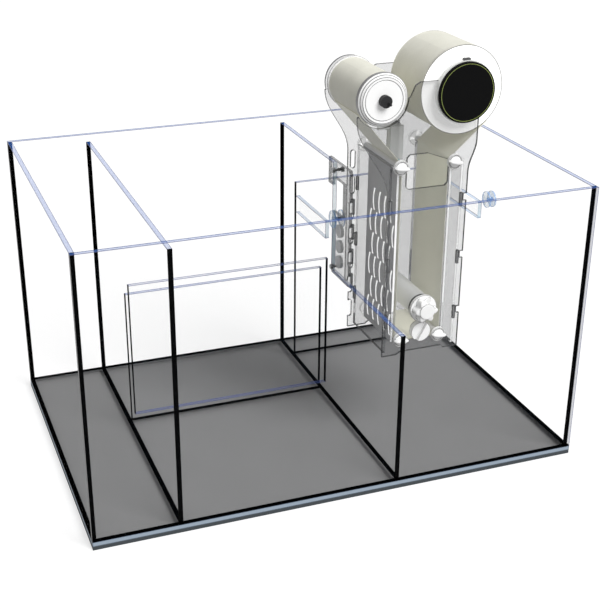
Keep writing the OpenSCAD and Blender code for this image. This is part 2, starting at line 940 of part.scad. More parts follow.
module takeup_motor() {
    color("dimgray") at_filter() difference() {
        union() {
            bar_y(takeup_axis, -plate_t - motor_boss_l, -plate_t, motor_boss_d);
            bar_y(takeup_axis, -plate_t - motor_boss_l - motor_l, -plate_t - motor_boss_l, motor_d);
        }
        bar_y(takeup_axis, -plate_t - motor_boss_l - motor_l - cut,
            -plate_t - motor_boss_l - motor_l + motor_bore_l, shaft_d + 2 * run_fit);
    }
}

module takeup_shaft() {
    color("silver") at_filter()
        bar_y(takeup_axis, web_front - disc_t - hub_t + cut,
            -plate_t - motor_boss_l - motor_l + shaft_in, shaft_d);
}

module takeup_core() {
    color("burlywood") at_filter() difference() {
        union() {
            bar_y(takeup_axis, web_front, takeup_flange_y, core_d);
            bar_y(takeup_axis, takeup_core_back, takeup_flange_y, end_disc_d);
        }
        bar_y(takeup_axis, web_front + core_web_t, takeup_flange_y - core_bush_l, core_d - 2 * core_wall);
        bar_y(takeup_axis, takeup_flange_y - core_bush_l - cut, takeup_flange_y + cut, motor_d + 2 * run_fit);
        bar_y(takeup_axis, web_front - cut, web_front + core_web_t + cut, shaft_d + fit);
    }
}

module takeup_fleece() {
    color("ivory") at_filter() difference() {
        bar_y(takeup_axis, web_front, web_back, takeup_d);
        bar_y(takeup_axis, web_front - cut, web_back + cut, core_d + fit);
    }
}

// White end disc, bevelled, with a ring pressed into its face
module takeup_disc() {
    r = end_disc_d / 2;
    color("white") at_filter() translate([takeup_x, web_front, takeup_z]) rotate([90, 0, 0]) difference() {
        rotate_extrude() polygon([
            [0, 0], [r, 0], [r, disc_rim_t], [r - disc_bevel, disc_t - disc_bevel],
            [disc_face_r, disc_t], [disc_ring_r + disc_ring_w, disc_t],
            [disc_ring_r + disc_ring_w, disc_t - disc_ring_depth], [disc_ring_r, disc_t - disc_ring_depth],
            [disc_ring_r, disc_t], [0, disc_t]]);
        translate([0, 0, -cut]) cylinder(h = disc_t + 2 * cut, d = shaft_d + fit);
    }
}

module takeup_hub() {
    front = web_front - disc_t;
    color("black") at_filter() translate([takeup_x, front, takeup_z]) rotate([90, 0, 0]) difference() {
        union() {
            cylinder(h = hub_t, d = hub_d);
            translate([crank_r * cos(crank_turn), crank_r * sin(crank_turn), hub_t - cut])
                cylinder(h = crank_l + cut, d = crank_d);
        }
        translate([0, 0, -cut]) cylinder(h = hub_t, d = shaft_d + fit);
    }
}

// Water inlet across the box, open at the back and slotted underneath
module inlet_pipe() {
    p = [pipe_x, pipe_z];
    bore = pipe_d - 2 * pipe_wall;
    color("lightgray") at_filter() difference() {
        bar_y(p, -box_d - pipe_front, pipe_rear, pipe_d);
        bar_y(p, -box_d - pipe_front - cut, pipe_rear + cut, bore);
        translate([pipe_x - pipe_slot_w / 2, (-box_d - pipe_slot_l) / 2, pipe_z - pipe_d])
            cube([pipe_slot_w, pipe_slot_l, pipe_d]);
    }
}

// Cap with a star grip, whose spigot turns in the pipe
module inlet_cap() {
    seat = -box_d - pipe_front;
    star = [for (i = [0:cap_steps - 1])
        let (a = 360 * i / cap_steps)
        (cap_star_r + cap_lobe * cos(cap_lobes * a)) * [cos(a), sin(a)]];
    color("white") at_filter() translate([pipe_x, seat, pipe_z]) rotate([90, 0, 0]) {
        cylinder(h = cap_flange_t, d = cap_flange_d);
        translate([0, 0, -cap_spigot_l])
            cylinder(h = cap_spigot_l + cut, d = pipe_d - 2 * pipe_wall - 2 * run_fit);
        translate([0, 0, cap_flange_t - cut]) linear_extrude(cap_star_t + cut) polygon(star);
        translate([0, 0, cap_flange_t]) cylinder(h = cap_star_t + cap_boss_t, d = cap_boss_d);
    }
}

// Bypass plug with a slotted head
module bypass_plug() {
    color("white") at_filter() translate([plug_x, -box_d - air, plug_z]) rotate([90, 0, 0]) difference() {
        union() {
            cylinder(h = plug_t, d = plug_d);
            translate([0, 0, -plug_spigot_l]) cylinder(h = plug_spigot_l + cut, d = plug_spigot_d);
        }
        rotate([0, 0, plug_turn]) translate([-plug_slot_w / 2, -plug_d, plug_t - plug_slot_depth])
            cube([plug_slot_w, 2 * plug_d, plug_slot_depth + cut]);
    }
}

// Bracket from the rear plate that the level sensor slides on
module sensor_holder() {
    color("gainsboro") at_filter() {
        translate([sensor_x + sensor_w / 2 - arm_w / 2, -sensor_back + holder_t - cut, arm_z])
            cube([arm_w, sensor_back - holder_t - plate_t + cut, arm_w]);
        translate([sensor_x + holder_inset, -sensor_back, sensor_z - holder_over])
            cube([sensor_w - 2 * holder_inset, holder_t, sensor_h + 2 * holder_over]);
    }
}

// Level sensor with a finger bar and two clear tips
module level_sensor() {
    front = -sensor_back - air - sensor_d;
    color("aliceblue") at_filter() {
        translate([sensor_x, front, sensor_z]) cube([sensor_w, sensor_d, sensor_h]);
        translate([sensor_x - bar_l, front + bar_inset, sensor_z + sensor_h - bar_h])
            cube([bar_l + cut, bar_d, bar_h]);
    }
    color("lightseagreen") at_filter()
        for (x = [sensor_x + tip_inset, sensor_x + sensor_w - tip_inset])
            translate([x, front + sensor_d / 2, sensor_z - tip_l]) cylinder(h = tip_l + cut, d = tip_d);
}

// Fleece web, in five runs that meet end to end
takeup_angle = cross_angle(upper_left, bend_r, takeup_axis, takeup_d / 2 + air + web_t / 2, 1);
supply_angle = cross_angle(upper_right, bend_r, supply_axis, supply_d / 2 + air + web_t / 2, -1);

module web(points) {
    color("ivory") sheet_y(web_front, web_back) polygon(points);
}

module web_supply_run() {
    p = touch(upper_right, bend_r, supply_angle, -1);
    q = touch(supply_axis, supply_d / 2 + air + web_t / 2, supply_angle, 1);
    at_filter() web(run_band(p, q, web_t));
}

module web_right_run() {
    x = web_right_x + web_t / 2;
    at_filter() {
        web(run_band([x, lower_right[1]], [x, upper_right[1]], web_t));
        web(arc_band(upper_right, bend_r, web_t, 90 + supply_angle, 180));
    }
}

module web_bottom_run() {
    z = low_rod_z - bend_r;
    at_filter() {
        web(run_band([lower_left[0], z], [lower_right[0], z], web_t));
        web(arc_band(lower_right, bend_r, web_t, -90, 0));
        web(arc_band(lower_left, bend_r, web_t, 180, 270));
    }
}

module web_left_run() {
    x = web_left_x + web_t / 2;
    at_filter() {
        web(run_band([x, lower_left[1]], [x, upper_left[1]], web_t));
        web(arc_band(upper_left, bend_r, web_t, 0, takeup_angle - 90));
    }
}

module web_takeup_run() {
    p = touch(upper_left, bend_r, takeup_angle, 1);
    q = touch(takeup_axis, takeup_d / 2 + air + web_t / 2, takeup_angle, -1);
    at_filter() web(run_band(p, q, web_t));
}

base_board();
base_glass();
front_glass();
back_glass();
left_glass();
right_glass();
floor_seams();
corner_seams();
left_divider();
right_divider();
divider_seams();
raised_baffle();
standing_baffle();
rear_baffle();
baffle_seams();
glass_rails();
clamp_bolts();
left_clamp_knob();
right_clamp_knob();
hanger_plate();
hanger_buffers();
hanger_bolts();
rear_plate();
front_plate();
left_panel();
right_panel();
inner_panel();
louvre_plate();
upper_left_rod();
upper_right_rod();
lower_left_rod();
lower_right_rod();
rod_nuts();
upper_left_knob();
upper_right_knob();
lower_left_knob();
lower_right_knob();
supply_spindle();
supply_core();
supply_fleece();
retainer_puck();
retainer_rim();
retainer_catch();
takeup_motor();
takeup_shaft();
takeup_core();
takeup_fleece();
takeup_disc();
takeup_hub();
inlet_pipe();
inlet_cap();
bypass_plug();
sensor_holder();
level_sensor();
web_supply_run();
web_right_run();
web_bottom_run();
web_left_run();
web_takeup_run();
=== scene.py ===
# Glass sump tank with a fleece roller filter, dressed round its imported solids.
# Everything is in metres in the tank's frame: +X right, +Y back, +Z up, floor at zero.
import math

import bmesh
import bpy
import numpy as np
from mathutils import Matrix, Vector


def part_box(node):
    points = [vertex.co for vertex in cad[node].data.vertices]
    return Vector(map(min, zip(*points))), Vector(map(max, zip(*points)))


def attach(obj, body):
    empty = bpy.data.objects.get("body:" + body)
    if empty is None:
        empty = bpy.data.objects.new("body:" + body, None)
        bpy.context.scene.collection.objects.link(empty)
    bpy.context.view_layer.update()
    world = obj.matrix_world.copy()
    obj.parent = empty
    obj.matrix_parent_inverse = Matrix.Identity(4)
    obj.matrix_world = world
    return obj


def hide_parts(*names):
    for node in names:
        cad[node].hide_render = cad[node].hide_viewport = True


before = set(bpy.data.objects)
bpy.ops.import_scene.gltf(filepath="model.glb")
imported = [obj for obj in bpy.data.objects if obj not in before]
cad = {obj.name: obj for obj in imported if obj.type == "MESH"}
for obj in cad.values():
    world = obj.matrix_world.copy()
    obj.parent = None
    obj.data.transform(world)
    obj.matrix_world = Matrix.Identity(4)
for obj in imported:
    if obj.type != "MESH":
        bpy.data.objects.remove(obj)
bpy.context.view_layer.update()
stage = bpy.context.scene
stage.view_settings.view_transform = "Standard"
stage.cycles.transparent_max_bounces = 48


# Camera. The photograph looks down at the tank from its front left, through a long lens.
turn, tilt, roll = math.radians(-20.158), math.radians(25.125), math.radians(0.078)
eye = (-0.70465, -1.91106, 1.1553)
lens_to_eye = Vector((math.sin(turn) * math.cos(tilt), -math.cos(turn) * math.cos(tilt), math.sin(tilt)))
to_right = Vector((math.cos(turn), math.sin(turn), 0))
to_top = lens_to_eye.cross(to_right)
camera = bpy.data.objects.new("camera", bpy.data.cameras.new("camera"))
camera.data.sensor_width = 36
camera.data.lens = 71.48
camera.data.shift_x = 0.0333
camera.data.shift_y = 0.0299
camera.data.clip_end = 60
camera.matrix_world = Matrix.Translation(eye) @ (
    Matrix((to_right, to_top, lens_to_eye)).transposed() @ Matrix.Rotation(roll, 3, "Z")).to_4x4()
stage.collection.objects.link(camera)
stage.camera = camera


# Helpers. Most of them add what they name to a node tree and return an output that the next
# one takes. Sizes and places are in metres, and masks are 0 or 1.
X_AXIS, Y_AXIS, Z_AXIS = 0, 1, 2


def add(tree, kind, feeds=None, **settings):
    """Adds one shader node. feeds gives each named input a value or another node's output."""
    made = tree.nodes.new(kind)
    for key, value in settings.items():
        setattr(made, key, value)
    for key, value in (feeds or {}).items():
        if isinstance(value, bpy.types.NodeSocket):
            tree.links.new(value, made.inputs[key])
        else:
            made.inputs[key].default_value = value
    return made


def calc(tree, operation, *values, clamp=False):
    """Output of one Math node, fed with numbers or with other outputs."""
    made = add(tree, "ShaderNodeMath", dict(enumerate(values)), operation=operation, use_clamp=clamp)
    return made.outputs[0]


def finish(name, rough, metallic=0.0, **sockets):
    """Starts a procedural material and returns it with its node tree and its shader."""
    made = bpy.data.materials.new(name)
    made.use_nodes = True
    shader = made.node_tree.nodes["Principled BSDF"]
    shader.inputs["Roughness"].default_value = rough
    shader.inputs["Metallic"].default_value = metallic
    for key, value in sockets.items():
        shader.inputs[key.replace("_", " ")].default_value = value
    return made, made.node_tree, shader


def place(tree, scale=(1, 1, 1), turned=(0, 0, 0), centre=(0, 0, 0)):
    """Position on the piece, measured from a centre, turned and stretched."""
    spot = add(tree, "ShaderNodeTexCoord").outputs["Object"]
    moved = add(tree, "ShaderNodeVectorMath", {0: spot, 1: centre}, operation="SUBTRACT").outputs[0]
    return add(tree, "ShaderNodeMapping", {"Vector": moved, "Scale": scale, "Rotation": turned}).outputs[0]


def axes(tree, centre=(0, 0, 0)):
    """X, Y and Z of the position on the piece, measured from a centre."""
    return list(add(tree, "ShaderNodeSeparateXYZ", {0: place(tree, centre=centre)}).outputs)


def length(tree, first, second):
    """Length of a line from its two components at right angles."""
    squares = [calc(tree, "POWER", component, 2.0) for component in (first, second)]
    return calc(tree, "POWER", calc(tree, "ADD", *squares), 0.5)


def near(tree, value, at, reach):
    """1 where a value is less than reach away from a number, otherwise 0."""
    away = calc(tree, "ABSOLUTE", calc(tree, "SUBTRACT", value, at))
    return calc(tree, "LESS_THAN", away, reach)


def on_cut(tree, node, axis):
    """1 on the cut edges of a plate: more than 0.2 mm inside its thickness along an axis."""
    lo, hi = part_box(node)
    from_middle = calc(tree, "ABSOLUTE", calc(tree, "SUBTRACT", axes(tree)[axis], (hi[axis] + lo[axis]) / 2))
    sunk = calc(tree, "SUBTRACT", (hi[axis] - lo[axis]) / 2, from_middle)
    return calc(tree, "GREATER_THAN", sunk, 0.0002)


def rims(tree, reach, start=0.015, full=0.08):
    """1 within about reach of a sharp edge and 0 elsewhere: there the normal that a rounded
    edge would have turns away from the real one."""
    rounded = add(tree, "ShaderNodeBevel", {"Radius": reach}, samples=6).outputs[0]
    real = add(tree, "ShaderNodeNewGeometry").outputs["Normal"]
    both = add(tree, "ShaderNodeVectorMath", {0: rounded, 1: real}, operation="DOT_PRODUCT")
    turned = calc(tree, "SUBTRACT", 1.0 - start, both.outputs["Value"])
    return calc(tree, "DIVIDE", turned, full - start, clamp=True)


def upward(tree):
    """1 where the surface faces up, 0 where it is upright and -1 where it faces down."""
    normal = add(tree, "ShaderNodeNewGeometry").outputs["Normal"]
    return add(tree, "ShaderNodeSeparateXYZ", {0: normal}).outputs[Z_AXIS]


def noise(tree, size, where, detail=3.0):
    """Soft random pattern whose blots are about size metres across, from 0 to 1."""
    return add(tree, "ShaderNodeTexNoise",
               {"Vector": where, "Scale": 1 / size, "Detail": detail, "Roughness": 0.55}).outputs[0]


def ramp(tree, factor, stops):
    """Colours at the given places along a factor, blended between them."""
    made = add(tree, "ShaderNodeValToRGB", {0: factor})
    for element, (at, color) in zip(made.color_ramp.elements, stops):
        element.position = at
        element.color = (*color, 1)
    return made.outputs[0]


def blend(tree, factor, low, high):
    """Colour that goes from low to high as the factor goes from 0 to 1."""
    made = add(tree, "ShaderNodeMix", {0: factor}, data_type="RGBA")
    for socket, value in ((made.inputs[6], low), (made.inputs[7], high)):
        if isinstance(value, bpy.types.NodeSocket):
            tree.links.new(value, socket)
        else:
            socket.default_value = (*value, 1)
    return made.outputs[2]


def shaded(tone, share):
    """A tone made darker or brighter."""
    return tuple(min(1, share * part) for part in tone)


def glow(tree, shader, strength, tone=(1, 1, 1)):
    """Light of the material's own, for what shines through it or gathers at its edges."""
    shader.inputs["Emission Color"].default_value = (*tone, 1)
    tree.links.new(strength, shader.inputs["Emission Strength"])


def relief(tree, shader, height, depth, strength=0.5):
    """Bumps the surface by a height pattern of the given depth."""
    bump = add(tree, "ShaderNodeBump", {"Height": height, "Distance": depth, "Strength": strength})
    tree.links.new(bump.outputs[0], shader.inputs["Normal"])


def speckled(name, rough, tones, size, depth, strength=0.4, detail=3, spread=(0.2, 0.8),
             scale=(1, 1, 1), **sockets):
    """Material whose tone and relief both follow one random pattern. The first tone is reached
    at the first place of the spread along the pattern, and the second at the second."""
    made, tree, shader = finish(name, rough, **sockets)
    pattern = noise(tree, size, place(tree, scale), detail)
    tree.links.new(ramp(tree, pattern, list(zip(spread, tones))), shader.inputs["Base Color"])
    relief(tree, shader, pattern, depth, strength)
    return made


def dress(material, *nodes):
    """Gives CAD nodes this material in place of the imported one."""
    for name in nodes:
        cad[name].data.materials.clear()
        cad[name].data.materials.append(material)


def axis_of(node):
    """Place in X and Z of the axis of a round piece that lies along Y, and its radius."""
    lo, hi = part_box(node)
    return np.array([(lo.x + hi.x) / 2, (lo.z + hi.z) / 2]), (hi.z - lo.z) / 2


# Studio. A white floor, an even white sky and one broad soft lamp from the front, above the
# camera's right shoulder. Floor and sky look white to the camera and in reflections, but light
# the tank less than they would as white surfaces.
def seen_directly(tree):
    """1 for rays from the camera, from reflections and from refractions, otherwise 0."""
    rays = add(tree, "ShaderNodeLightPath").outputs
    either = calc(tree, "MAXIMUM", rays["Is Camera Ray"], rays["Is Glossy Ray"])
    return calc(tree, "MAXIMUM", either, rays["Is Transmission Ray"])


sky = bpy.data.worlds.new("studio_sky")
sky.use_nodes = True
tree = sky.node_tree
tree.nodes.clear()
stage.world = sky
soft_sky = add(tree, "ShaderNodeBackground", {"Color": (1, 1, 1, 1), "Strength": 0.34})
white_sky = add(tree, "ShaderNodeBackground", {"Color": (1, 1, 1, 1), "Strength": 1.0})
both_skies = add(tree, "ShaderNodeMixShader",
                 {0: seen_directly(tree), 1: soft_sky.outputs[0], 2: white_sky.outputs[0]})
add(tree, "ShaderNodeOutputWorld", {"Surface": both_skies.outputs[0]})

lamp = bpy.data.objects.new("soft_lamp", bpy.data.lights.new("soft_lamp", "SUN"))
lamp.data.energy = 2.95
lamp.data.angle = 0.6
lamp.rotation_euler = Vector((0.30, -0.66, 0.68)).to_track_quat("Z", "Y").to_euler()
stage.collection.objects.link(lamp)

floor_mesh = bpy.data.meshes.new("studio_floor")
floor_corners = [(-20, -20, -0.0004), (20, -20, -0.0004), (20, 20, -0.0004), (-20, 20, -0.0004)]
floor_mesh.from_pydata(floor_corners, [], [(0, 1, 2, 3)])
floor = bpy.data.objects.new("studio_floor", floor_mesh)
stage.collection.objects.link(floor)
floor_paint = bpy.data.materials.new("studio_floor")
floor_paint.use_nodes = True
tree = floor_paint.node_tree
tree.nodes.clear()
matt_floor = add(tree, "ShaderNodeBsdfDiffuse", {"Color": (0.42, 0.42, 0.42, 1)})
lift = calc(tree, "MULTIPLY", seen_directly(tree), 0.66)
floor_glow = add(tree, "ShaderNodeEmission", {"Color": (1, 1, 1, 1), "Strength": lift})
lit_floor = add(tree, "ShaderNodeAddShader", {0: matt_floor.outputs[0], 1: floor_glow.outputs[0]})
add(tree, "ShaderNodeOutputMaterial", {"Surface": lit_floor.outputs[0]})
floor.data.materials.append(floor_paint)


# Foam board. A sheet of dark grey closed-cell foam, cut to the tank's size and laid under the
# base pane. Its top shows the fine cells, and its sides are painted much darker as painted shade.
foam, tree, shader = finish("foam_board", 0.85)
cells = noise(tree, 0.0012, place(tree), 4)
blotch = noise(tree, 0.09, place(tree), 2)
board_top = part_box("base_board")[1].z
on_top = calc(tree, "GREATER_THAN", axes(tree)[Z_AXIS], board_top - 0.0002)
mottle = calc(tree, "MULTIPLY_ADD", cells, 0.5, calc(tree, "MULTIPLY", blotch, 0.4))
sheet_grey = blend(tree, mottle, (0.205, 0.205, 0.206), (0.255, 0.255, 0.256))
# Painted shade: the board's sides take this much darker grey than its top.
side_shade_grey = blend(tree, cells, (0.030, 0.036, 0.041), (0.050, 0.062, 0.071))
tree.links.new(blend(tree, on_top, side_shade_grey, sheet_grey), shader.inputs["Base Color"])
relief(tree, shader, cells, 0.0003)
dress(foam, "base_board")


# Glass panes. Clear 8 mm float glass with ground edges. The faces are almost invisible, and the
# free edges look pale blue with a thin darker arris. Black silicone shows at the bonded edges.
LOW, HIGH = 0, 1
ON_PLANE, ARRIS = 0.0001, 0.0009


def glass_pane(name, across, free, bonded=(), face=0.003, edge=0.42, line=0.8, notch=None,
               tone=(0.03, 0.16, 0.60), line_tone=(0.11, 0.13, 0.27), upright=(0.50, 0.78, 0.97),
               bond_tone=(0.001, 0.001, 0.001)):
    """Glass for one pane, whose thickness runs along the axis across. free lists its free edges
    as (axis, side): each is a plane of the pane's box. A point on that plane is ground, and the
    arris runs where it is also close to a face or to another edge. Upright ground edges have a
    tone of their own. bonded lists the edges set in silicone in the same way: they take
    bond_tone. face, edge and line say how far faces, ground edges and arrises cover what is
    behind them. notch is the Y and the Z of a corner cut out of the front of the top."""
    made, tree, shader = finish(name, 0.03, IOR=1.5, Specular_IOR_Level=0.02)
    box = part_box(name)
    spot = add(tree, "ShaderNodeTexCoord").outputs["Object"]
    coords = list(add(tree, "ShaderNodeSeparateXYZ", {0: spot}).outputs)

    def close(axis, at, reach=ON_PLANE):
        return near(tree, coords[axis], at, reach)

    def close_to_box(axis):
        return calc(tree, "MAXIMUM", close(axis, box[LOW][axis], ARRIS), close(axis, box[HIGH][axis], ARRIS))

    ground, arris, standing = 0.0, 0.0, 0.0
    skin = close_to_box(across)
    for axis, side in free:
        at = box[side][axis]
        other = X_AXIS + Y_AXIS + Z_AXIS - axis - across
        ground = calc(tree, "MAXIMUM", ground, close(axis, at))
        if axis != Z_AXIS:
            standing = calc(tree, "MAXIMUM", standing, close(axis, at))
        beside = calc(tree, "MAXIMUM", skin, close_to_box(other))
        arris = calc(tree, "MAXIMUM", arris, calc(tree, "MULTIPLY", close(axis, at, ARRIS), beside))
    if notch:
        edge_y, sill_z = notch
        above = calc(tree, "GREATER_THAN", coords[Z_AXIS], sill_z - ON_PLANE)
        before = calc(tree, "LESS_THAN", coords[Y_AXIS], edge_y + ON_PLANE)
        standing = close(Y_AXIS, edge_y)
        for axis, at, kept in ((Y_AXIS, edge_y, above), (Z_AXIS, sill_z, before)):
            ground = calc(tree, "MAXIMUM", ground, calc(tree, "MULTIPLY", close(axis, at), kept))
            line_here = calc(tree, "MULTIPLY", close(axis, at, ARRIS), skin)
            arris = calc(tree, "MAXIMUM", arris, calc(tree, "MULTIPLY", line_here, kept))
    grain = noise(tree, 0.0006, spot, 2)
    ground_tone = blend(tree, grain, shaded(tone, 0.94), shaded(tone, 1.05))
    ground_tone = blend(tree, standing, ground_tone, upright)
    color = blend(tree, arris, blend(tree, ground, (0.12, 0.16, 0.22), ground_tone), line_tone)
    edgewise = add(tree, "ShaderNodeLayerWeight", {"Blend": 0.25}).outputs["Fresnel"]
    clear = calc(tree, "MULTIPLY_ADD", edgewise, 0.012, face)
    cover = calc(tree, "MAXIMUM", clear, calc(tree, "MULTIPLY", ground, edge))
    for axis, side in bonded:
        bond = close(axis, box[side][axis])
        color = blend(tree, bond, color, bond_tone)
        cover = calc(tree, "MAXIMUM", cover, calc(tree, "MULTIPLY", bond, 0.97))
    cover = calc(tree, "MAXIMUM", cover, calc(tree, "MULTIPLY", arris, line))
    tree.links.new(color, shader.inputs["Base Color"])
    tree.links.new(cover, shader.inputs["Alpha"])
    tree.links.new(calc(tree, "MULTIPLY_ADD", ground, 0.3, 0.03), shader.inputs["Roughness"])
    dress(made, name)


top_edge, foot = (Z_AXIS, HIGH), (Z_AXIS, LOW)
x_ends, y_ends = [(X_AXIS, LOW), (X_AXIS, HIGH)], [(Y_AXIS, LOW), (Y_AXIS, HIGH)]
for pane in ("front_glass", "back_glass"):
    glass_pane(pane, Y_AXIS, [top_edge, x_ends[HIGH]], [foot, x_ends[LOW]], upright=(0.05, 0.08, 0.45))
for pane in ("standing_baffle", "rear_baffle"):
    glass_pane(pane, Y_AXIS, [top_edge], [foot, *x_ends])
glass_pane("raised_baffle", Y_AXIS, [top_edge, foot], x_ends, edge=0.30, tone=(0.05, 0.12, 0.45))
for pane in ("left_glass", "right_glass", "left_divider"):
    glass_pane(pane, X_AXIS, [top_edge], [foot, *y_ends])
notch_y, notch_sill = 0.014, 0.289
glass_pane("right_divider", X_AXIS, [top_edge], [foot, *y_ends], notch=(notch_y, notch_sill))

# The base pane's edges are slate, and its back end takes the grey of the board under it.
slate, board_grey = (0.34, 0.41, 0.49), (0.23, 0.235, 0.24)
glass_pane("base_glass", Z_AXIS, [*x_ends, y_ends[LOW]], [y_ends[HIGH]], bond_tone=board_grey, face=0.01,
           edge=0.95, tone=slate, line_tone=(0.10, 0.13, 0.18), upright=slate)
glass_pane("glass_rails", X_AXIS, [y_ends[LOW], top_edge, foot], face=0.04, edge=0.50,
           tone=(0.42, 0.62, 0.92))


# Silicone. Black sealant squeezed out between the panes to a film a millimetre thick, trimmed
# flush with a blade. It is slightly uneven and has a dull shine.
silicone = speckled("black_silicone", 0.7, [(0.0006, 0.0006, 0.0006), (0.0022, 0.0022, 0.0024)], 0.006,
                    0.0004, spread=(0.3, 0.8), Specular_IOR_Level=0.02)
dress(silicone, "floor_seams", "corner_seams", "divider_seams", "baffle_seams")


# Disc clamps. Clear discs turned from acrylic rod, screwed together on a clear bolt. Their
# turned faces carry fine rings, and the rims and the line round the bolt are darker.
clamp, tree, shader = finish("clamp_acrylic", 0.12, IOR=1.49)
y, z = axes(tree)[1:]
reaches = []
for node in ("left_clamp_knob", "right_clamp_knob"):
    lo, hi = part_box(node)
    reaches.append(length(tree, calc(tree, "SUBTRACT", y, (lo.y + hi.y) / 2),
                          calc(tree, "SUBTRACT", z, (lo.z + hi.z) / 2)))
reach = calc(tree, "MINIMUM", *reaches)
rim_from, bolt_line, rings_per_metre = 0.0152, 0.0034, 9000.0
rings = calc(tree, "SINE", calc(tree, "MULTIPLY", reach, rings_per_metre))
rim = calc(tree, "GREATER_THAN", reach, rim_from)
mark = calc(tree, "MAXIMUM", rim, near(tree, reach, bolt_line, 0.0005))
tree.links.new(blend(tree, mark, (0.55, 0.82, 1.0), (0.22, 0.42, 0.80)), shader.inputs["Base Color"])
tree.links.new(calc(tree, "MULTIPLY_ADD", mark, 0.25, 0.30), shader.inputs["Alpha"])
relief(tree, shader, rings, 0.00003, 0.4)
dress(clamp, "clamp_bolts", "left_clamp_knob", "right_clamp_knob")


# Hanger. A plate of smoked acrylic, laser cut with hooks along its front edge. The laser
# leaves fine streaks across the thickness on the darker cut edges.
plate_tone, plate_edge = (0.10, 0.104, 0.11), (0.055, 0.057, 0.06)


def cut_acrylic(name, nodes, across, cover, edge_cover, tone, edge_tone, lit=0.0):
    """Sheet acrylic for plates whose thickness runs along one axis. Faces and cut edges have
    their own cover and tone, and the rim of each face is darker. Where lit is above zero, the edge
    that lies just behind the front plate is painted near-white and glows by lit: a painted highlight."""
    rough = 0.16
    for node in nodes:
        made, tree, shader = finish(f"{name}_{node}", rough, IOR=1.49)
        edge = on_cut(tree, node, across)
        rim = rims(tree, 0.0016)
        streak_scale = [1.0, 1.0, 1.0]
        streak_scale[across] = 0.05
        streaks = noise(tree, 0.0005, place(tree, streak_scale), 2)
        cloud = noise(tree, 0.04, place(tree), 3)
        edge_color = blend(tree, streaks, shaded(edge_tone, 0.8), shaded(edge_tone, 1.15))
        if lit:
            back_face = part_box("front_plate")[1].y
            y = axes(tree)[Y_AXIS]
            painted_highlight_edge = calc(tree, "MULTIPLY", calc(tree, "GREATER_THAN", y, back_face - 0.0003),
                            calc(tree, "LESS_THAN", y, back_face + 0.006))
            painted_highlight_edge = calc(tree, "MULTIPLY", edge, painted_highlight_edge)
            # Painted highlight: the edge strip just behind the front plate is near-white and glows.
            edge_color = blend(tree, painted_highlight_edge, edge_color, (0.90, 0.90, 0.90))
            glow(tree, shader, calc(tree, "MULTIPLY", painted_highlight_edge, lit))
        sheet = blend(tree, edge, tone, edge_color)
        tree.links.new(blend(tree, rim, sheet, shaded(plate_edge, 0.3)), shader.inputs["Base Color"])
        veil = calc(tree, "MULTIPLY_ADD", cloud, 0.04, cover - 0.02)
        veil = calc(tree, "MAXIMUM", calc(tree, "MULTIPLY", edge, edge_cover), veil)
        veil = calc(tree, "MAXIMUM", calc(tree, "MULTIPLY", rim, 0.95), veil)
        tree.links.new(veil, shader.inputs["Alpha"])
        tree.links.new(calc(tree, "MULTIPLY_ADD", cloud, 0.12, rough), shader.inputs["Roughness"])
        relief(tree, shader, streaks, 0.00005, 0.5)
        dress(made, node)


cut_acrylic("smoked_acrylic", ["hanger_plate"], X_AXIS, 0.26, 0.72, plate_tone, (0.12, 0.123, 0.13))


# Buffers. Three soft translucent discs stuck to the hanger beside the glass.
dress(speckled("buffer_grey", 0.45, [(0.60, 0.61, 0.62), (0.70, 0.71, 0.72)], 0.0015, 0.0002, 0.3,
               Alpha=0.72), "hanger_buffers")


# Bolts and shaft. Stainless steel with a fine turned grain.
dress(speckled("turned_steel", 0.28, [(0.16, 0.165, 0.17), (0.30, 0.305, 0.31)], 0.0004, 0.00004, 0.5,
               detail=4, spread=(0.2, 0.9), metallic=1.0), "hanger_bolts", "takeup_shaft")


# Filter plates and panels. Translucent acrylic sheet, laser cut. Tabs on the side panels pass
# through the front and rear plates and show as small dark bricks.
panel_edge = (0.10, 0.103, 0.108)
cut_acrylic("box_acrylic", ["rear_plate", "front_plate"], Y_AXIS, 0.16, 0.95, plate_tone, plate_edge)
cut_acrylic("box_acrylic", ["left_panel"], X_AXIS, 0.12, 0.85, plate_tone, panel_edge)
cut_acrylic("box_acrylic", ["right_panel"], X_AXIS, 0.15, 0.85, plate_tone, panel_edge, lit=0.5)
cut_acrylic("box_acrylic", ["inner_panel"], X_AXIS, 0.24, 0.90, (0.30, 0.31, 0.32), (0.22, 0.23, 0.24),
            lit=0.5)
cut_acrylic("box_acrylic", ["sensor_holder"], Y_AXIS, 0.45, 0.80, (0.20, 0.205, 0.21), panel_edge)


# Louvre plate. Dark grey sheet with rows of bowed slots that the water leaves through. The
# slots' walls are painted near-white and glow as painted light, and the whole plate glows faintly.
louvre, tree, shader = finish("louvre_grey", 0.5)
wall = on_cut(tree, "louvre_plate", X_AXIS)
speck = noise(tree, 0.0009, place(tree), 4)
haze = noise(tree, 0.05, place(tree), 2)
mottle = calc(tree, "MULTIPLY_ADD", speck, 0.4, calc(tree, "MULTIPLY", haze, 0.5))
face_grey = blend(tree, mottle, (0.40, 0.40, 0.405), (0.52, 0.52, 0.525))
face_grey = blend(tree, calc(tree, "MULTIPLY", rims(tree, 0.0009), 0.85), face_grey, (0.03, 0.03, 0.03))
# Painted light: the slots' walls are near-white and glow strongly, and the faces glow faintly.
tree.links.new(blend(tree, wall, face_grey, (0.93, 0.94, 0.94)), shader.inputs["Base Color"])
glow(tree, shader, calc(tree, "MULTIPLY_ADD", wall, 0.50, 0.06))
relief(tree, shader, speck, 0.00015, 0.4)
dress(louvre, "louvre_plate")
